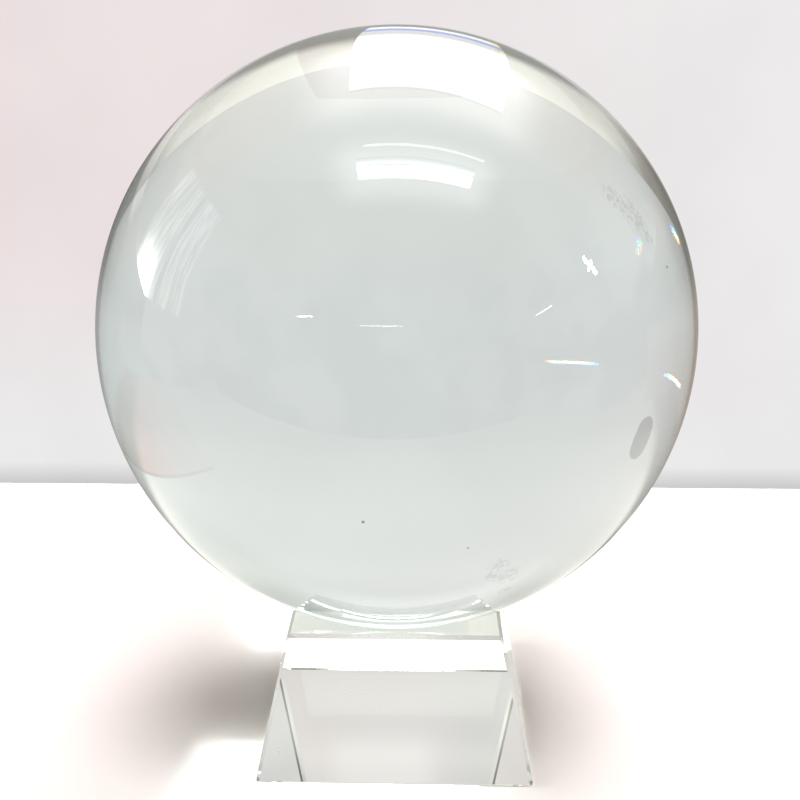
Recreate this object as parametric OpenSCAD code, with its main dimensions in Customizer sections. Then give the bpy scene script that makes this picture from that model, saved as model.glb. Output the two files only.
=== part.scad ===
// Crystal ball on its glass stand.
//
// A solid polished ball rests loose in a shallow round seat, ground into the top of a
// solid tapered block. The block's edges all have a narrow polished bevel.
//
// Millimetres, +Z up. The origin is the middle of the block's underside, and the
// block's front face looks towards -Y.

/* [Ball] */
// Diameter of the ball
ball_d = 200; // [120:1:240]

/* [Stand] */
// Width of the block across its underside
base_bottom_w = 96; // [90:0.5:140]
// Width of the block across its top
base_top_w = 73.5; // [66:0.5:88]
// Height of the block
base_h = 51.5; // [30:0.5:80]
// Leg of the polished bevel on every edge
edge_bevel = 1.1; // [0.4:0.1:2.5]

/* [Seat] */
// Depth of the ball's lowest point below the top of the block
seat_depth = 3; // [1:0.1:4]
// Clearance between the ball and the seat
seat_gap = 0.15; // [0.1:0.05:0.4]

/* [Hidden] */

$fn = 180;
ball_r = ball_d / 2;
ball_centre_z = base_h - seat_depth + ball_r;

// The block leans in by this much for each millimetre of height
side_lean = (base_bottom_w - base_top_w) / 2 / base_h;
// A bevel of this leg moves a corner's plane in by this much along the diagonal
corner_inset = edge_bevel / sqrt(2);
// Any length that passes right through the block
through = 2 * base_bottom_w;

crystal = [0.90, 0.95, 0.94, 0.45];
stand_crystal = [0.93, 0.96, 0.88, 0.55];

// Upright slab with leaning faces towards +X and -X, from the underside to the top.
// bottom and top are its half widths there, and bevel cuts its four long edges.
module leaning_slab(bottom, top, bevel) {
    lean = side_lean * bevel;
    right_side = [
        [bottom - bevel, 0],
        [bottom - lean, bevel],
        [top + lean, base_h - bevel],
        [top - bevel, base_h]
    ];
    left_side = [for (i = [3:-1:0]) [-right_side[i].x, right_side[i].y]];
    rotate([90, 0, 0])
        linear_extrude(height = through, center = true)
            polygon(concat(right_side, left_side));
}

// Square block that narrows upwards, with a bevel on all twelve edges
module bevelled_block() {
    intersection() {
        intersection_for(turn = [0, 90])
            rotate([0, 0, turn])
                leaning_slab(base_bottom_w / 2, base_top_w / 2, edge_bevel);
        intersection_for(turn = [45, 135])
            rotate([0, 0, turn])
                leaning_slab(
                    base_bottom_w / sqrt(2) - corner_inset,
                    base_top_w / sqrt(2) - corner_inset,
                    0
                );
    }
}

module ball() {
    color(crystal)
        translate([0, 0, ball_centre_z])
            sphere(r = ball_r);
}

module stand() {
    color(stand_crystal)
        difference() {
            bevelled_block();
            translate([0, 0, ball_centre_z])
                sphere(r = ball_r + seat_gap);
        }
}

ball();
stand();
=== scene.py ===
import math

import bmesh
import bpy
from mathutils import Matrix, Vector


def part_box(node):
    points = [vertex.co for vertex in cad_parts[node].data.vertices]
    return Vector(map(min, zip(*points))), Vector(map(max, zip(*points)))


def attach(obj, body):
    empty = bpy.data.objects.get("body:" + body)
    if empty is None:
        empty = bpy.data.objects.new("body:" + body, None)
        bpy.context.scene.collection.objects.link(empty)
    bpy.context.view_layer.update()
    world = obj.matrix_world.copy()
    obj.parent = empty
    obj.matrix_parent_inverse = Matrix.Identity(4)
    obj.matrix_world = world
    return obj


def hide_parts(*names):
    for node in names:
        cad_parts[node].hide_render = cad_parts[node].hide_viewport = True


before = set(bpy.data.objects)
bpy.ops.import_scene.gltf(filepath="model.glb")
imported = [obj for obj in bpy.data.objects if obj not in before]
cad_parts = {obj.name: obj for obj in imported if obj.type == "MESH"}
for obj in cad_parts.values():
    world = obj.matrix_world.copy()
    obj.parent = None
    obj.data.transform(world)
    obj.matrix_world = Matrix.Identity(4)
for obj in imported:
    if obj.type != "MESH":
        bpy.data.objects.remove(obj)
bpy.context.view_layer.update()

MM = 0.001

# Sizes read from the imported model
ball_low, ball_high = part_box("ball")
BALL_RADIUS = (ball_high.z - ball_low.z) / 2
BALL_CENTRE = Vector((0.0, 0.0, (ball_high.z + ball_low.z) / 2))
stand_low, stand_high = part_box("stand")
STAND_TOP = stand_high.z
SEAT_GAP = 0.15 * MM
SEAT_REACH = 30 * MM          # the seat's corners all lie within this of the middle, the outer ones beyond it

# The glass
GLASS_INDEX = 1.517
BALL_TINT = (0.267, 0.70, 0.61)
STAND_TINT = (0.42, 0.95, 0.45)
CLEAR = (1.0, 1.0, 1.0)
DIRT = (0.10, 0.10, 0.09)
SMEAR_SHARE = 0.30            # how much of a speck's darkness the softer marks have
PRINT_SHARE = 0.62
FILM_SHARE = 0.012

# Marks on the ball: azimuth and elevation in degrees, and size in millimetres
BALL_SPECKS = ((-176.0, -16.9, 1.1), (166.6, -23.0, 0.7), (124.7, 18.6, 1.0))
LOW_SMEAR = ((159.5, -28.4, 9), (156.2, -32.1, 11), (159.7, -31.2, 8), (155.1, -37.4, 6))
HIGH_SMEAR = ((135.3, 31.5, 10), (132.1, 29.1, 11), (129.8, 26.9, 9), (128.5, 24.0, 6))
PRINT = ((133.8, -6.9, 9.0), (134.1, -7.8, 9.4), (134.4, -8.6, 9.4), (134.7, -9.5, 9.0))

# Specks on the stand: x, y, z and half size in metres
STAND_SPECKS = ((-0.0396, -0.0455, 0.0113, 0.0004), (-0.0389, -0.0380, 0.0414, 0.0004))

# The table and the wall behind it, in metres
TABLE_LEFT = -0.73
TABLE_RIGHT = 0.50
TABLE_FRONT = -0.42
TABLE_BACK = 0.229
TABLE_PAINT = (0.80, 0.74, 0.725)
AIR = 0.2 * MM                # the stand's polished underside isn't quite in touch with the table
WALL_Y = 0.25
WALL_HEIGHT = 0.30
WALL_HALF_WIDTH = 1.6
WALL_FOOT = -0.4

# The ceiling; the lamps in it are given in ceiling heights, across and along
CEILING = 1.5                 # height of the lamps above the middle of the ball
PANEL_A = ((-0.21, 0.49), (0.25, 2.8))
PANEL_B = ((-0.21, 0.45), (-0.455, -0.29))
PANEL_C = ((-0.16, 0.48), (-0.215, -0.195))
KEY_A = ((-0.20, 0.48), (0.15, 0.7))
KEY_B = ((-0.16, 0.42), (-0.60, -0.27))
KEY_DROP = 0.05               # the table's lamps hang this far below the panels
FAR_SHARE = 1 / 7             # of the long panel's light, at its far end
INNER_SHARE = 0.17            # of the long panel's light, for what has been inside the glass
LAMP_DISTANCE = 1.8           # from the middle of the ball to the thin lamps

# Colours of the room
BACKDROP = (0.838, 0.761, 0.768)       # above the wall board
WALL_PINK = (0.828, 0.740, 0.745)
WALL_GREY = (0.835, 0.825, 0.830)
WALL_LOW = (0.838, 0.775, 0.775)
WALL_WARM = (0.95, 0.80, 0.68)
TABLE_TONE_FRONT = (1.0, 0.985, 0.915)
TABLE_TONE_BACK = (1.0, 0.905, 0.85)
CLOTH_TONE = (0.80, 0.42, 0.36)
FLOOR_TONE = (0.97, 0.96, 0.96)
WHITE = (1.0, 1.0, 1.0)
YELLOW_FRINGE = (1.0, 0.86, 0.45)
VIOLET_FRINGE = (0.42, 0.48, 1.0)
ROOM_DIM = (0.20, 0.21, 0.20)
ROOM_SHAPES = (0.80, 0.78, 0.74)
ROOM_FAR_END = (0.50, 0.49, 0.47)
ROOM_THROUGH = (0.66, 0.65, 0.65)
ROOF_MIDDLE = (1.15, 0.95, 0.80)
ROOF_SIDES = (0.95, 0.58, 0.36)
LAMP_SPILL = (3.9, 3.6, 3.4)
WINDOW_LIGHT = (1.0, 0.97, 0.90)
RAINBOW = (("red", (1.0, 0.10, 0.0)), ("green", (0.0, 0.85, 0.10)), ("blue", (0.05, 0.10, 1.0)))

# The camera, in metres, degrees and millimetres
CAMERA_PLACE = (0.00818, -0.33749, 0.22663)
CAMERA_DIP = 16.9             # below level
CAMERA_TURN = 0.0212          # radians to the left
CAMERA_LENS = 44.94
CAMERA_SENSOR = 36.0


# ---------------------------------------------------------------- node helpers

def new_material(name):
    material = bpy.data.materials.new(name)
    material.use_nodes = True
    material.node_tree.nodes.clear()
    return material


def add(tree, kind, **values):
    node = tree.nodes.new(kind)
    for key, value in values.items():
        setattr(node, key, value)
    return node


def join(tree, source, target):
    tree.links.new(source, target)


def number(tree, operation, first, second=None, third=None):
    """A Math node on numbers or sockets; returns its output."""
    node = add(tree, "ShaderNodeMath", operation=operation)
    for slot, value in zip(node.inputs, (first, second, third)):
        if value is None:
            continue
        if isinstance(value, (int, float)):
            slot.default_value = value
        else:
            join(tree, value, slot)
    return node.outputs[0]


def product(tree, first, *others):
    """Multiplies numbers or sockets together."""
    for other in others:
        first = number(tree, "MULTIPLY", first, other)
    return first


def ramp(tree, value, start, end, low=0.0, high=1.0, smooth=True):
    """`low` where value is at `start`, `high` where it is at `end`, and steady beyond them."""
    node = add(tree, "ShaderNodeMapRange")
    node.interpolation_type = "SMOOTHSTEP" if smooth else "LINEAR"
    join(tree, value, node.inputs["Value"])
    node.inputs["From Min"].default_value = start
    node.inputs["From Max"].default_value = end
    node.inputs["To Min"].default_value = low
    node.inputs["To Max"].default_value = high
    return node.outputs[0]


def curve(tree, value, stops):
    """A grey value that goes through (position, height) stops."""
    top = max(position for position, height in stops)
    tall = max(height for position, height in stops)
    node = add(tree, "ShaderNodeValToRGB")
    node.color_ramp.interpolation = "EASE"
    points = node.color_ramp.elements
    while len(points) < len(stops):
        points.new(1.0)
    for point, (position, height) in zip(points, stops):
        point.position = position / top
        point.color = (height / tall, height / tall, height / tall, 1)
    join(tree, number(tree, "DIVIDE", value, top), node.inputs["Fac"])
    return product(tree, node.outputs["Color"], tall)


def blend_colour(tree, factor, first, second):
    node = add(tree, "ShaderNodeMix", data_type="RGBA")
    for name, value in (("Factor", factor), ("A", first), ("B", second)):
        if isinstance(value, (int, float)):
            node.inputs[name].default_value = value
        elif isinstance(value, tuple):
            node.inputs[name].default_value = (*value, 1)
        else:
            join(tree, value, node.inputs[name])
    return node.outputs["Result"]


def noise(tree, place, scale, low, high):
    """Soft random patches, from 0 to 1."""
    patches = add(tree, "ShaderNodeTexNoise")
    patches.inputs["Scale"].default_value = scale
    patches.inputs["Detail"].default_value = 3.0
    join(tree, place, patches.inputs["Vector"])
    return ramp(tree, patches.outputs["Fac"], low, high)


def object_axes(tree):
    """The x, y and z of a point of an object, in metres."""
    place = add(tree, "ShaderNodeTexCoord")
    axes = add(tree, "ShaderNodeSeparateXYZ")
    join(tree, place.outputs["Object"], axes.inputs[0])
    return axes.outputs["X"], axes.outputs["Y"], axes.outputs["Z"]


def straight(tree):
    """1 for what is seen directly or through the glass, 0 for the light that falls on the table."""
    seen = add(tree, "ShaderNodeLightPath")
    return number(tree, "LESS_THAN", seen.outputs["Diffuse Depth"], 0.5)


def long_way(tree):
    """Dims what is seen after many turns inside the glass, so the cut edges show as thin dark lines."""
    seen = add(tree, "ShaderNodeLightPath")
    few = ramp(tree, seen.outputs["Ray Depth"], 2.4, 2.6, 1.0, 0.90)
    many = ramp(tree, seen.outputs["Ray Depth"], 4.4, 4.6, 1.0, 0.30)
    return product(tree, few, many)


def glass_ray(tree):
    """1 for a ray that left the glass or was mirrored by it, 0 for the camera and the lighting."""
    seen = add(tree, "ShaderNodeLightPath")
    ray = number(tree, "MAXIMUM", seen.outputs["Is Glossy Ray"], seen.outputs["Is Transmission Ray"])
    return product(tree, ray, straight(tree))


# ---------------------------------------------------------------- meshes

def make_object(name, mesh_tool):
    mesh = bpy.data.meshes.new(name)
    mesh_tool.to_mesh(mesh)
    mesh_tool.free()
    thing = bpy.data.objects.new(name, mesh)
    bpy.context.scene.collection.objects.link(thing)
    return thing


def quad_object(name, corners, material):
    tool = bmesh.new()
    points = [tool.verts.new(c) for c in corners]
    tool.faces.new(points)
    thing = make_object(name, tool)
    thing.data.materials.append(material)
    return thing


def ball_mesh(steps=100):
    """An even cube-sphere: six square grids blown out to the ball's radius."""
    tool = bmesh.new()
    sides = (
        (Vector((1, 0, 0)), Vector((0, 1, 0)), Vector((0, 0, 1))),
        (Vector((-1, 0, 0)), Vector((0, 0, 1)), Vector((0, 1, 0))),
        (Vector((0, 1, 0)), Vector((0, 0, 1)), Vector((1, 0, 0))),
        (Vector((0, -1, 0)), Vector((1, 0, 0)), Vector((0, 0, 1))),
        (Vector((0, 0, 1)), Vector((1, 0, 0)), Vector((0, 1, 0))),
        (Vector((0, 0, -1)), Vector((0, 1, 0)), Vector((1, 0, 0))),
    )
    for out, across, up in sides:
        rows = []
        for j in range(steps + 1):
            row = []
            for i in range(steps + 1):
                u = math.tan((2 * i / steps - 1) * math.pi / 4)
                v = math.tan((2 * j / steps - 1) * math.pi / 4)
                outward = (out + u * across + v * up).normalized()
                row.append(tool.verts.new(BALL_CENTRE + BALL_RADIUS * outward))
            rows.append(row)
        for j in range(steps):
            for i in range(steps):
                tool.faces.new((rows[j][i], rows[j][i + 1], rows[j + 1][i + 1], rows[j + 1][i]))
    bmesh.ops.remove_doubles(tool, verts=tool.verts, dist=BALL_RADIUS * 1e-5)
    bmesh.ops.recalc_face_normals(tool, faces=tool.faces)
    for face in tool.faces:
        face.smooth = True
    return tool


def octagon(tool, z, half, reach):
    """A ring of eight corners: a square of half width `half` whose corners are cut at x + y = reach."""
    short = reach - half
    corners = ((half, short), (short, half), (-short, half), (-half, short),
               (-half, -short), (-short, -half), (short, -half), (half, -short))
    return [tool.verts.new((x, y, z)) for x, y in corners]


def stand_rings():
    """Height, half width and corner reach of each ring of corners of the CAD stand."""
    rings = {}
    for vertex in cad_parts["stand"].data.vertices:
        x, y, z = vertex.co
        if math.hypot(x, y) > SEAT_REACH:
            level = round(z / MM, 2)
            half, reach = rings.get(level, (0.0, 0.0))
            rings[level] = (max(half, abs(x)), max(reach, x + y))
    return [(level * MM, *rings[level]) for level in sorted(rings)]


def stand_mesh(around=160, deep=14):
    """The tapered block: flat sides, cut edges and a round seat ground into the top."""
    tool = bmesh.new()
    rings = [octagon(tool, *ring) for ring in stand_rings()]
    tool.faces.new(rings[0])
    for lower, upper in zip(rings, rings[1:]):
        for k in range(8):
            tool.faces.new((lower[k], lower[(k + 1) % 8], upper[(k + 1) % 8], upper[k]))
    seat_radius = BALL_RADIUS + SEAT_GAP
    drop = BALL_CENTRE.z - STAND_TOP
    rim_angle = math.acos(drop / seat_radius)
    last = None
    rim_edges = []
    for k in range(deep):
        angle = rim_angle * (1 - k / deep)
        ring = []
        for i in range(around):
            turn = 2 * math.pi * i / around
            ring.append(tool.verts.new((
                seat_radius * math.sin(angle) * math.cos(turn),
                seat_radius * math.sin(angle) * math.sin(turn),
                BALL_CENTRE.z - seat_radius * math.cos(angle),
            )))
        for i in range(around):
            after = (i + 1) % around
            if last is None:
                rim_edges.append(tool.edges.new((ring[i], ring[after])))
            else:
                tool.faces.new((last[i], last[after], ring[after], ring[i])).smooth = True
        last = ring
    middle = tool.verts.new((0.0, 0.0, BALL_CENTRE.z - seat_radius))
    for i in range(around):
        tool.faces.new((last[i], last[(i + 1) % around], middle)).smooth = True
    outer = [tool.edges.get((rings[-1][k], rings[-1][(k + 1) % 8])) for k in range(8)]
    bmesh.ops.triangle_fill(tool, use_beauty=True, edges=outer + rim_edges)
    bmesh.ops.recalc_face_normals(tool, faces=tool.faces)
    for edge in tool.edges:
        flats = [face for face in edge.link_faces if not face.smooth]
        edge.smooth = not flats
    return tool


# ---------------------------------------------------------------- glass

def direction(azimuth, elevation):
    """Unit vector; azimuth in degrees from +Y towards +X."""
    a = math.radians(azimuth)
    e = math.radians(elevation)
    return Vector((math.sin(a) * math.cos(e), math.cos(a) * math.cos(e), math.sin(e)))


def on_ball(azimuth, elevation, size):
    """A place on the ball's surface, as x, y, z and half size in metres."""
    return (*(BALL_CENTRE + BALL_RADIUS * direction(azimuth, elevation)), size * MM / 2)


def spots(tree, place, marks, fade):
    """1 inside round marks on the surface and 0 outside them."""
    found = None
    for x, y, z, size in marks:
        away = add(tree, "ShaderNodeVectorMath", operation="DISTANCE")
        join(tree, place, away.inputs[0])
        away.inputs[1].default_value = (x, y, z)
        mark = ramp(tree, away.outputs["Value"], size, fade * size)
        found = mark if found is None else number(tree, "MAXIMUM", found, mark)
    return found


def crystal(name, tint, density, specks, smears=(), prints=(), dark=1.0):
    """Clear polished glass, tinted by its depth, with specks, dull smears, dark prints and a faint film.

    `dark` is 1 where the marks are grey, and 0 where they are pale and only dull.
    """
    material = new_material(name)
    tree = material.node_tree
    out = add(tree, "ShaderNodeOutputMaterial")
    glass = add(tree, "ShaderNodeBsdfPrincipled")
    glass.inputs["Transmission Weight"].default_value = 1.0
    glass.inputs["IOR"].default_value = GLASS_INDEX
    place = add(tree, "ShaderNodeTexCoord").outputs["Object"]
    dirt = spots(tree, place, specks, 0.7)
    if smears:
        patchy = noise(tree, place, 700.0, 0.40, 0.60)
        smear = product(tree, spots(tree, place, smears, 0.4), patchy, SMEAR_SHARE)
        dirt = number(tree, "MAXIMUM", dirt, smear)
    if prints:
        fingertip = product(tree, spots(tree, place, prints, 0.85), PRINT_SHARE)
        dirt = number(tree, "MAXIMUM", dirt, fingertip)
    film = product(tree, noise(tree, place, 24.0, 0.30, 0.75), FILM_SHARE)
    shade = number(tree, "MAXIMUM", product(tree, dirt, dark), film)
    join(tree, blend_colour(tree, shade, CLEAR, DIRT), glass.inputs["Base Color"])
    join(tree, product(tree, dirt, 0.5 - 0.35 * dark), glass.inputs["Roughness"])
    depth = add(tree, "ShaderNodeVolumeAbsorption")
    depth.inputs["Color"].default_value = (*tint, 1)
    depth.inputs["Density"].default_value = density
    join(tree, glass.outputs[0], out.inputs["Surface"])
    join(tree, depth.outputs[0], out.inputs["Volume"])
    return material


# ---------------------------------------------------------------- lamps and window

def panel_colour(tree, x, y, right_edge):
    """White light with a yellow fringe at its right edge and a violet one far along."""
    violet_start = ramp(tree, y, 1.85 * CEILING, 2.00 * CEILING)
    violet_end = ramp(tree, y, 2.30 * CEILING, 2.15 * CEILING)
    violet = product(tree, violet_start, violet_end)
    yellow = ramp(tree, x, right_edge - 0.10, right_edge - 0.04)
    yellow = product(tree, yellow, ramp(tree, y, 1.3 * CEILING, 1.7 * CEILING))
    fringe = blend_colour(tree, yellow, WHITE, YELLOW_FRINGE)
    return blend_colour(tree, violet, fringe, VIOLET_FRINGE)


def far_and_inner(tree, y, far_share, inner_share):
    """A lamp's share of light far along it, and for what has been inside the glass."""
    seen = add(tree, "ShaderNodeLightPath")
    far = ramp(tree, y, 0.6 * CEILING, 1.7 * CEILING, 1.0, far_share)
    inner = ramp(tree, seen.outputs["Ray Depth"], 1.4, 1.6, 1.0, inner_share)
    return product(tree, far, inner)


def ceiling_panel(name, x_range, y_range, strength, edge=0.0, wire=None, long=False):
    """A lamp in the ceiling as the glass sees it, and only the glass.

    It fades over `edge` at one side and may have a dark `wire` across it. A long one is dimmer far
    along and inside the glass, and has coloured fringes.
    """
    material = new_material(name)
    tree = material.node_tree
    out = add(tree, "ShaderNodeOutputMaterial")
    x, y, _ = object_axes(tree)
    light = add(tree, "ShaderNodeEmission")
    light.inputs["Color"].default_value = (*WHITE, 1)
    shares = [straight(tree)]
    if long:
        join(tree, panel_colour(tree, x, y, x_range[1] * CEILING), light.inputs["Color"])
        shares.append(far_and_inner(tree, y, FAR_SHARE, INNER_SHARE))
    if edge:
        rim = y_range[0] if edge > 0 else y_range[1]
        shares.append(ramp(tree, y, rim * CEILING, (rim + edge) * CEILING, 0.16, 1.0))
    if wire is not None:
        off = number(tree, "ABSOLUTE", number(tree, "SUBTRACT", y, wire * CEILING))
        shares.append(ramp(tree, off, 0.003, 0.006, 0.12, 1.0))
    join(tree, product(tree, *shares, strength), light.inputs["Strength"])
    join(tree, light.outputs[0], out.inputs["Surface"])
    panel = ceiling_quad(name, x_range, y_range, BALL_CENTRE.z + CEILING, material)
    panel.visible_camera = False
    panel.visible_diffuse = False
    panel.visible_shadow = False


def ceiling_quad(name, x_range, y_range, z, material):
    """A rectangle that faces down, with its ranges in ceiling heights."""
    x0, x1 = (x * CEILING for x in x_range)
    y0, y1 = (y * CEILING for y in y_range)
    return quad_object(name, ((x0, y0, z), (x0, y1, z), (x1, y1, z), (x1, y0, z)), material)


def table_lamp(name, x_range, y_range, strength):
    """A lamp that only lights the table: it gives the soft shadows and the bright pools in them."""
    material = new_material(name)
    tree = material.node_tree
    out = add(tree, "ShaderNodeOutputMaterial")
    light = add(tree, "ShaderNodeEmission")
    light.inputs["Strength"].default_value = strength
    clear = add(tree, "ShaderNodeBsdfTransparent")
    pick = add(tree, "ShaderNodeMixShader")
    join(tree, glass_ray(tree), pick.inputs["Fac"])
    join(tree, light.outputs[0], pick.inputs[1])
    join(tree, clear.outputs[0], pick.inputs[2])
    join(tree, pick.outputs[0], out.inputs["Surface"])
    lamp = ceiling_quad(name, x_range, y_range, BALL_CENTRE.z + CEILING - KEY_DROP, material)
    lamp.visible_camera = False


def window_strength(tree, y0, z0):
    """Soft upright streaks, a bright gap between the blinds low down, and a dark post."""
    place = add(tree, "ShaderNodeTexCoord")
    stretch = add(tree, "ShaderNodeMapping")
    stretch.inputs["Scale"].default_value = (1, 34, 3.0)
    join(tree, place.outputs["Object"], stretch.inputs["Vector"])
    slats = add(tree, "ShaderNodeTexNoise")
    slats.inputs["Scale"].default_value = 1.0
    slats.inputs["Detail"].default_value = 4.0
    slats.inputs["Roughness"].default_value = 0.6
    join(tree, stretch.outputs[0], slats.inputs["Vector"])
    streaks = ramp(tree, slats.outputs["Fac"], 0.42, 0.62, 0.7, 2.2)
    _, y, z = object_axes(tree)
    low = ramp(tree, z, z0 + 0.42, z0 + 0.10)
    front = ramp(tree, y, y0 + 0.98, y0 + 0.80)
    back = ramp(tree, y, y0 + 0.45, y0 + 0.62)
    gap = product(tree, low, front, back)
    strength = number(tree, "MULTIPLY_ADD", gap, 9.0, streaks)
    post = number(tree, "ABSOLUTE", number(tree, "SUBTRACT", y, y0 + 0.40))
    return product(tree, strength, ramp(tree, post, 0.02, 0.05, 0.35, 1.0))


def window():
    """A window at the left with upright blinds, mirrored by the glass."""
    distance = 1.6
    y0, y1 = -0.18 * distance, 0.445 * distance
    z0 = BALL_CENTRE.z + 0.105 * distance
    z1 = BALL_CENTRE.z + 0.71 * distance
    x = -distance
    material = new_material("window")
    tree = material.node_tree
    out = add(tree, "ShaderNodeOutputMaterial")
    light = add(tree, "ShaderNodeEmission")
    light.inputs["Color"].default_value = (*WINDOW_LIGHT, 1)
    join(tree, window_strength(tree, y0, z0), light.inputs["Strength"])
    join(tree, light.outputs[0], out.inputs["Surface"])
    pane = quad_object("window", ((x, y0, z0), (x, y1, z0), (x, y1, z1), (x, y0, z1)), material)
    pane.visible_camera = False
    pane.visible_transmission = False
    pane.visible_diffuse = False


def tube(name, start, end, width, strength, distance=LAMP_DISTANCE, colour=WHITE, through=False):
    """A thin glowing strip seen from the ball between two directions, (azimuth, elevation) each."""
    first = direction(*start)
    last = direction(*end)
    along = (last - first).normalized()
    side = first.cross(along).normalized()
    half = math.radians(width) / 2
    corners = [
        BALL_CENTRE + distance * (first - side * half),
        BALL_CENTRE + distance * (last - side * half),
        BALL_CENTRE + distance * (last + side * half),
        BALL_CENTRE + distance * (first + side * half),
    ]
    strip = quad_object(name, corners, colour_material(name, colour, strength, through))
    strip.visible_camera = False


def colour_material(name, colour, strength, through):
    """Light that adds to what is behind it, seen either through the glass or as mirrored by it."""
    material = new_material(name)
    tree = material.node_tree
    out = add(tree, "ShaderNodeOutputMaterial")
    seen = add(tree, "ShaderNodeLightPath")
    share = seen.outputs["Is Transmission Ray"]
    if not through:
        share = number(tree, "SUBTRACT", 1.0, share)
    light = add(tree, "ShaderNodeEmission")
    light.inputs["Color"].default_value = (*colour, 1)
    join(tree, product(tree, share, strength), light.inputs["Strength"])
    clear = add(tree, "ShaderNodeBsdfTransparent")
    both = add(tree, "ShaderNodeAddShader")
    join(tree, light.outputs[0], both.inputs[0])
    join(tree, clear.outputs[0], both.inputs[1])
    join(tree, both.outputs[0], out.inputs["Surface"])
    return material


def rainbow(name, start, end, width, strength, turn, rise):
    """A lamp as the glass splits it into colours: three copies, turned and raised by a few degrees."""
    for step, (colour_name, colour) in enumerate(RAINBOW):
        shift = step - 1
        moved = [(azimuth + shift * turn, elevation + shift * rise) for azimuth, elevation in (start, end)]
        far = LAMP_DISTANCE + 0.01 * (step + 1)
        tube(name + "_" + colour_name, *moved, width, strength, far, colour, through=True)


# ---------------------------------------------------------------- table, wall and room

def glow_material(name, colour, strength):
    material = new_material(name)
    tree = material.node_tree
    out = add(tree, "ShaderNodeOutputMaterial")
    light = add(tree, "ShaderNodeEmission")
    light.inputs["Color"].default_value = (*colour, 1)
    light.inputs["Strength"].default_value = strength
    join(tree, light.outputs[0], out.inputs["Surface"])
    return material


def table_front(tree, x, away):
    """Light of the table in front of the stand and beside it, by its distance from the middle."""
    stops = ((0.0, 0.7), (0.06, 0.8), (0.11, 1.65), (0.20, 2.15), (0.28, 1.85), (0.42, 1.25), (0.80, 0.85))
    near_right = ramp(tree, x, 0.03, 0.12, 1.0, 0.78)
    far_right = ramp(tree, x, 0.22, 0.50, 1.0, 0.70)
    left = ramp(tree, x, -0.12, -0.03, 0.86, 1.0)
    return product(tree, curve(tree, away, stops), near_right, far_right, left)


def table_back(tree, aside, away):
    """Light of the table behind the stand: dark close to it and far aside."""
    shadow = ramp(tree, away, 0.158, 0.188, 0.22, 1.12)
    return product(tree, shadow, ramp(tree, aside, 0.10, 0.17, 1.0, 0.36))


def lit_patch(tree, y, aside):
    """A bright strip of table close behind the stand."""
    rows = product(tree, ramp(tree, y, 0.040, 0.047), ramp(tree, y, 0.076, 0.060))
    return product(tree, rows, ramp(tree, aside, 0.080, 0.055, 0.0, 0.9))


def cloth_and_hem(tree, x, y):
    """A pink cloth at the left of the table and its thin dark hem, as the glass mirrors them."""
    seen = add(tree, "ShaderNodeLightPath")
    mirrored = number(tree, "SUBTRACT", 1.0, seen.outputs["Is Transmission Ray"])
    rows = product(tree, ramp(tree, y, -0.130, -0.120), ramp(tree, y, 0.22, 0.19), mirrored)
    off = number(tree, "ABSOLUTE", number(tree, "ADD", x, 0.231))
    hem = product(tree, rows, ramp(tree, off, 0.005, 0.002, 0.0, 0.45))
    cloth = product(tree, rows, ramp(tree, x, -0.226, -0.234), ramp(tree, y, -0.11, 0.03, 0.30, 0.95))
    return cloth, hem


def table_glow(tree):
    """The table as the glass sees it; returns a colour and a strength."""
    x, y, _ = object_axes(tree)
    flat = add(tree, "ShaderNodeCombineXYZ")
    join(tree, x, flat.inputs["X"])
    join(tree, y, flat.inputs["Y"])
    reach = add(tree, "ShaderNodeVectorMath", operation="LENGTH")
    join(tree, flat.outputs[0], reach.inputs[0])
    away = reach.outputs["Value"]
    aside = number(tree, "ABSOLUTE", x)
    behind = ramp(tree, y, 0.06, 0.11)
    shade = add(tree, "ShaderNodeMix", data_type="FLOAT")
    join(tree, behind, shade.inputs["Factor"])
    join(tree, table_front(tree, x, away), shade.inputs["A"])
    join(tree, table_back(tree, aside, away), shade.inputs["B"])
    cloth, hem = cloth_and_hem(tree, x, y)
    tone = blend_colour(tree, behind, TABLE_TONE_FRONT, TABLE_TONE_BACK)
    tone = blend_colour(tree, cloth, tone, CLOTH_TONE)
    strength = number(tree, "ADD", shade.outputs["Result"], lit_patch(tree, y, aside))
    strength = product(tree, strength, number(tree, "SUBTRACT", 1.0, hem), long_way(tree))
    return tone, strength


def table():
    """The pale table top. What the glass shows of it has its own smooth light, free of grain."""
    material = new_material("table")
    tree = material.node_tree
    out = add(tree, "ShaderNodeOutputMaterial")
    paint = add(tree, "ShaderNodeBsdfDiffuse")
    paint.inputs["Color"].default_value = (*TABLE_PAINT, 1)
    light = add(tree, "ShaderNodeEmission")
    tone, strength = table_glow(tree)
    join(tree, tone, light.inputs["Color"])
    join(tree, strength, light.inputs["Strength"])
    pick = add(tree, "ShaderNodeMixShader")
    join(tree, glass_ray(tree), pick.inputs["Fac"])
    join(tree, paint.outputs[0], pick.inputs[1])
    join(tree, light.outputs[0], pick.inputs[2])
    join(tree, pick.outputs[0], out.inputs["Surface"])
    left, right, z = TABLE_LEFT, TABLE_RIGHT, -AIR
    quad_object(
        "table",
        ((left, TABLE_FRONT, z), (right, TABLE_FRONT, z), (right, TABLE_BACK, z), (left, TABLE_BACK, z)),
        material,
    )


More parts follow.
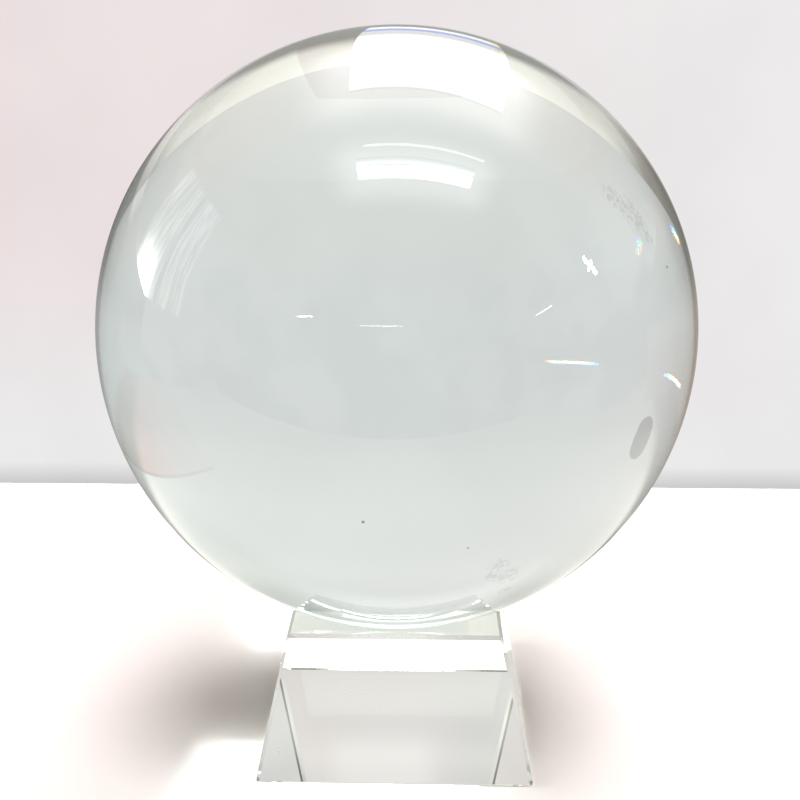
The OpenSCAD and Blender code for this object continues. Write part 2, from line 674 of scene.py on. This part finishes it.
def floor_beyond():
    """Carries the pale table on to the horizon for the side, back and top views; the glass doesn't see it."""
    material = glow_material("floor", FLOOR_TONE, 1.0)
    far = 12.0
    z = -2 * AIR
    strips = {
        "floor_left": (-far, TABLE_LEFT, TABLE_FRONT, TABLE_BACK),
        "floor_right": (TABLE_RIGHT, far, TABLE_FRONT, TABLE_BACK),
        "floor_front": (-far, far, -far, TABLE_FRONT),
        "floor_back": (-far, far, WALL_Y + MM, far),
    }
    for name, (x0, x1, y0, y1) in strips.items():
        strip = quad_object(name, ((x0, y0, z), (x1, y0, z), (x1, y1, z), (x0, y1, z)), material)
        strip.visible_diffuse = False
        strip.visible_glossy = False
        strip.visible_transmission = False
        strip.visible_shadow = False


def wall_tone(tree, x, z, through, mirrored):
    """Pink at the left, grey at the right and the foot, and warmer low down and at the right in the glass."""
    grey = number(tree, "MAXIMUM", ramp(tree, x, -0.25, 0.30), ramp(tree, z, 0.15, 0.02))
    tone = blend_colour(tree, grey, WALL_PINK, WALL_GREY)
    low = product(tree, ramp(tree, z, 0.085, 0.04), through)
    tone = blend_colour(tree, low, tone, WALL_LOW)
    right = product(tree, mirrored, ramp(tree, x, 0.13, 0.21))
    return blend_colour(tree, right, tone, WALL_WARM)


def shown_dark(tree, x, z, aside):
    """How much darker the wall is through the glass: at its ends, and high up."""
    ends = ramp(tree, aside, 0.25, 0.36, 0.0, 0.70)
    high = product(tree, ramp(tree, z, 0.18, 0.27), ramp(tree, aside, 0.02, 0.08, 0.09, 0.20))
    right = product(tree, ramp(tree, z, 0.14, 0.18), ramp(tree, x, 0.0, 0.05, 0.0, 0.10))
    return number(tree, "MAXIMUM", ends, number(tree, "ADD", high, right))


def mirrored_dark(tree, x, z):
    """How much darker the wall is when the glass mirrors it: at the left and at the right, not in between."""
    top = ramp(tree, z, 0.22, 0.26, 0.0, 0.16)
    right_level = number(tree, "SUBTRACT", ramp(tree, z, 0.10, 0.18, 0.45, 0.82), top)
    right = product(tree, ramp(tree, x, 0.13, 0.21), right_level)
    lit = product(tree, ramp(tree, z, 0.245, 0.262), ramp(tree, x, -0.45, -0.35))
    left_level = product(tree, ramp(tree, z, 0.10, 0.18, 0.45, 0.80), number(tree, "SUBTRACT", 1.0, lit))
    left = product(tree, ramp(tree, x, -0.12, -0.19), left_level)
    return number(tree, "MAXIMUM", left, right)


def wall_band(tree, z, aside, through, depth):
    """A brighter band high on the wall, for its middle and for light that turned inside the glass."""
    middle = ramp(tree, aside, 0.06, 0.02, 0.0, 0.22)
    inner = ramp(tree, depth, 2.4, 2.6, 0.0, 0.12)
    band = product(tree, ramp(tree, z, 0.165, 0.195), number(tree, "MAXIMUM", middle, inner))
    return number(tree, "MULTIPLY_ADD", band, through, 1.0)


def wall_glow(tree):
    """The wall's colour and strength: plain for the camera, apart from a painted shade at its foot, and
    uneven for the glass.
    """
    x, _, z = object_axes(tree)
    seen = add(tree, "ShaderNodeLightPath")
    through = seen.outputs["Is Transmission Ray"]
    bounced = number(tree, "SUBTRACT", seen.outputs["Is Glossy Ray"], through)
    mirrored = number(tree, "MAXIMUM", bounced, 0.0)
    aside = number(tree, "ABSOLUTE", number(tree, "ADD", x, 0.015))
    shown = product(tree, through, shown_dark(tree, x, z, aside))
    dark = number(tree, "MAXIMUM", shown, product(tree, mirrored, mirrored_dark(tree, x, z)))
    # Painted shade at the wall's foot, in the gap behind the table's back edge; only the camera sees it.
    shaded = product(tree, ramp(tree, z, 0.006, -0.008, smooth=False), seen.outputs["Is Camera Ray"])
    foot = number(tree, "MULTIPLY_ADD", shaded, -0.28, 1.0)
    place = add(tree, "ShaderNodeTexCoord")
    uneven = noise(tree, place.outputs["Object"], 9.0, 0.3, 0.7)
    mottle = number(tree, "MULTIPLY_ADD", uneven, 0.05, 0.975)
    strength = product(
        tree,
        foot,
        number(tree, "SUBTRACT", 1.0, dark),
        wall_band(tree, z, aside, through, seen.outputs["Ray Depth"]),
        mottle,
        long_way(tree),
        ramp(tree, straight(tree), 0.0, 1.0, 0.4, 1.0),
    )
    return wall_tone(tree, x, z, through, mirrored), strength


def wall():
    """A low pale board behind the table, seen from the front only."""
    material = new_material("wall")
    tree = material.node_tree
    out = add(tree, "ShaderNodeOutputMaterial")
    light = add(tree, "ShaderNodeEmission")
    tone, strength = wall_glow(tree)
    join(tree, tone, light.inputs["Color"])
    join(tree, strength, light.inputs["Strength"])
    clear = add(tree, "ShaderNodeBsdfTransparent")
    side = add(tree, "ShaderNodeNewGeometry")
    seen = add(tree, "ShaderNodeLightPath")
    from_behind = product(tree, side.outputs["Backfacing"], seen.outputs["Is Camera Ray"])
    pick = add(tree, "ShaderNodeMixShader")
    join(tree, from_behind, pick.inputs["Fac"])
    join(tree, light.outputs[0], pick.inputs[1])
    join(tree, clear.outputs[0], pick.inputs[2])
    join(tree, pick.outputs[0], out.inputs["Surface"])
    half, low, high = WALL_HALF_WIDTH, WALL_FOOT, WALL_HEIGHT
    corners = ((-half, WALL_Y, low), (half, WALL_Y, low), (half, WALL_Y, high), (-half, WALL_Y, high))
    board = quad_object("wall", corners, material)
    board.visible_diffuse = False
    board.visible_shadow = False


def halo(tree, u, v, x_range, y_range, reach):
    """Light that spills round a lamp on the ceiling, from 1 at its edge to 0 at `reach` from it."""
    offsets = []
    for axis, (low, high) in ((u, x_range), (v, y_range)):
        middle = number(tree, "SUBTRACT", axis, (low + high) / 2)
        outside = number(tree, "SUBTRACT", number(tree, "ABSOLUTE", middle), (high - low) / 2)
        offsets.append(number(tree, "MAXIMUM", outside, 0.0))
    squares = [product(tree, offset, offset) for offset in offsets]
    away = number(tree, "SQRT", number(tree, "ADD", *squares))
    return ramp(tree, away, 0.0, reach, 1.0, 0.0)


def room_walls(tree, directions, x, y):
    """The dim room that the glass mirrors: faint soft shapes, and a lighter far end."""
    aside = number(tree, "ABSOLUTE", x)
    away = product(tree, ramp(tree, y, 0.55, 0.85), ramp(tree, aside, 0.30, 0.55, 1.0, 0.45))
    shapes = product(tree, noise(tree, directions, 2.4, 0.42, 0.60), glass_ray(tree))
    dim = blend_colour(tree, shapes, ROOM_DIM, ROOM_SHAPES)
    return blend_colour(tree, away, dim, ROOM_FAR_END)


def ceiling_spill(tree, x, y, z):
    """Light round the two large ceiling lamps, gone far along."""
    high = number(tree, "MAXIMUM", z, 0.05)
    u = number(tree, "DIVIDE", x, high)
    v = number(tree, "DIVIDE", y, high)
    spill = number(tree, "MAXIMUM", halo(tree, u, v, *PANEL_A, 0.42), halo(tree, u, v, *PANEL_B, 0.32))
    return product(tree, spill, spill, ramp(tree, v, 0.6, 1.3, 1.0, 0.0))


def room_colour(tree, seen):
    """What the glass sees of the room in each direction."""
    place = add(tree, "ShaderNodeTexCoord")
    directions = place.outputs["Generated"]
    axes = add(tree, "ShaderNodeSeparateXYZ")
    join(tree, directions, axes.inputs[0])
    x, y, z = (axes.outputs[k] for k in "XYZ")
    aside = ramp(tree, number(tree, "ABSOLUTE", x), 0.2, 0.8)
    roof = blend_colour(tree, aside, ROOF_MIDDLE, ROOF_SIDES)
    up = blend_colour(tree, ramp(tree, z, 0.25, 0.85), room_walls(tree, directions, x, y), roof)
    bright = blend_colour(tree, ceiling_spill(tree, x, y, z), up, LAMP_SPILL)
    few_turns = ramp(tree, seen.outputs["Ray Depth"], 3.4, 3.6, 1.0, 0.0)
    through = product(tree, seen.outputs["Is Transmission Ray"], few_turns, ramp(tree, y, 0.35, 0.15))
    return blend_colour(tree, through, bright, ROOM_THROUGH)


def room_world():
    """Pale wall for the camera; for the glass, a dim room with a warm ceiling."""
    world = bpy.data.worlds.new("room")
    bpy.context.scene.world = world
    world.use_nodes = True
    tree = world.node_tree
    tree.nodes.clear()
    out = add(tree, "ShaderNodeOutputWorld")
    seen = add(tree, "ShaderNodeLightPath")
    room = add(tree, "ShaderNodeBackground")
    join(tree, room_colour(tree, seen), room.inputs["Color"])
    fill = ramp(tree, glass_ray(tree), 0.0, 1.0, 0.25, 1.0)
    join(tree, product(tree, fill, long_way(tree)), room.inputs["Strength"])
    plain = add(tree, "ShaderNodeBackground")
    plain.inputs["Color"].default_value = (*BACKDROP, 1)
    pick = add(tree, "ShaderNodeMixShader")
    join(tree, seen.outputs["Is Camera Ray"], pick.inputs["Fac"])
    join(tree, room.outputs[0], pick.inputs[1])
    join(tree, plain.outputs[0], pick.inputs[2])
    join(tree, pick.outputs[0], out.inputs["Surface"])


def camera():
    """In front of the object and a little above it, looking slightly down."""
    data = bpy.data.cameras.new("camera")
    data.sensor_width = CAMERA_SENSOR
    data.lens = CAMERA_LENS
    data.clip_start = 0.01
    data.clip_end = 60.0
    thing = bpy.data.objects.new("camera", data)
    thing.location = CAMERA_PLACE
    thing.rotation_euler = (math.radians(90 - CAMERA_DIP), 0.0, CAMERA_TURN)
    bpy.context.scene.collection.objects.link(thing)
    bpy.context.scene.camera = thing


# ---------------------------------------------------------------- build

camera()
room_world()
table()
wall()
ceiling_panel("panel_A", *PANEL_A, strength=14.0, edge=0.07, long=True)
ceiling_panel("panel_B", *PANEL_B, strength=14.0, edge=-0.085, wire=-0.353)
ceiling_panel("panel_C", *PANEL_C, strength=6.0)
table_lamp("key_A", *KEY_A, strength=12.8)
table_lamp("key_B", *KEY_B, strength=18.4)
window()
floor_beyond()
tube("lamp_left_back", (-152.3, 16.6), (-146.2, 15.8), width=0.35, strength=40.0)
rainbow("lamp_left_back", (-152.3, 16.6), (-146.2, 15.8), width=0.35, strength=40.0, turn=0.6, rise=0.0)
tube("lamp_right_back", (122.3, 15.5), (129.4, 13.8), width=0.25, strength=25.0)
tube("lamp_far", (-169.0, 15.0), (-183.0, 15.0), width=0.15, strength=20.0)
tube("lamp_right", (103.0, 24.5), (99.8, 18.8), width=1.7, strength=45.0)
tube("lamp_right_cross", (99.3, 22.7), (103.2, 20.6), width=1.0, strength=45.0)
rainbow("lamp_right", (100.6, 23.0), (99.4, 20.4), width=1.2, strength=45.0, turn=0.0, rise=0.8)

ball = make_object("crystal_ball", ball_mesh())
specks = [on_ball(*mark) for mark in BALL_SPECKS]
smears = [on_ball(*mark) for mark in LOW_SMEAR + HIGH_SMEAR]
prints = [on_ball(*mark) for mark in PRINT]
ball.data.materials.append(crystal("ball_crystal", BALL_TINT, 1.5, specks, smears, prints))
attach(ball, "ball")
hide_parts("ball")

stand = make_object("crystal_stand", stand_mesh())
stand.data.materials.append(crystal("stand_crystal", STAND_TINT, 1.0, STAND_SPECKS, dark=0.0))
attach(stand, "stand")
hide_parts("stand")

scene = bpy.context.scene
scene.view_settings.view_transform = "Standard"
scene.view_settings.look = "None"
scene.cycles.max_bounces = 24
scene.cycles.transmission_bounces = 24
scene.cycles.glossy_bounces = 12
scene.cycles.transparent_max_bounces = 24
scene.cycles.sample_clamp_indirect = 30.0
scene.cycles.blur_glossy = 0.0
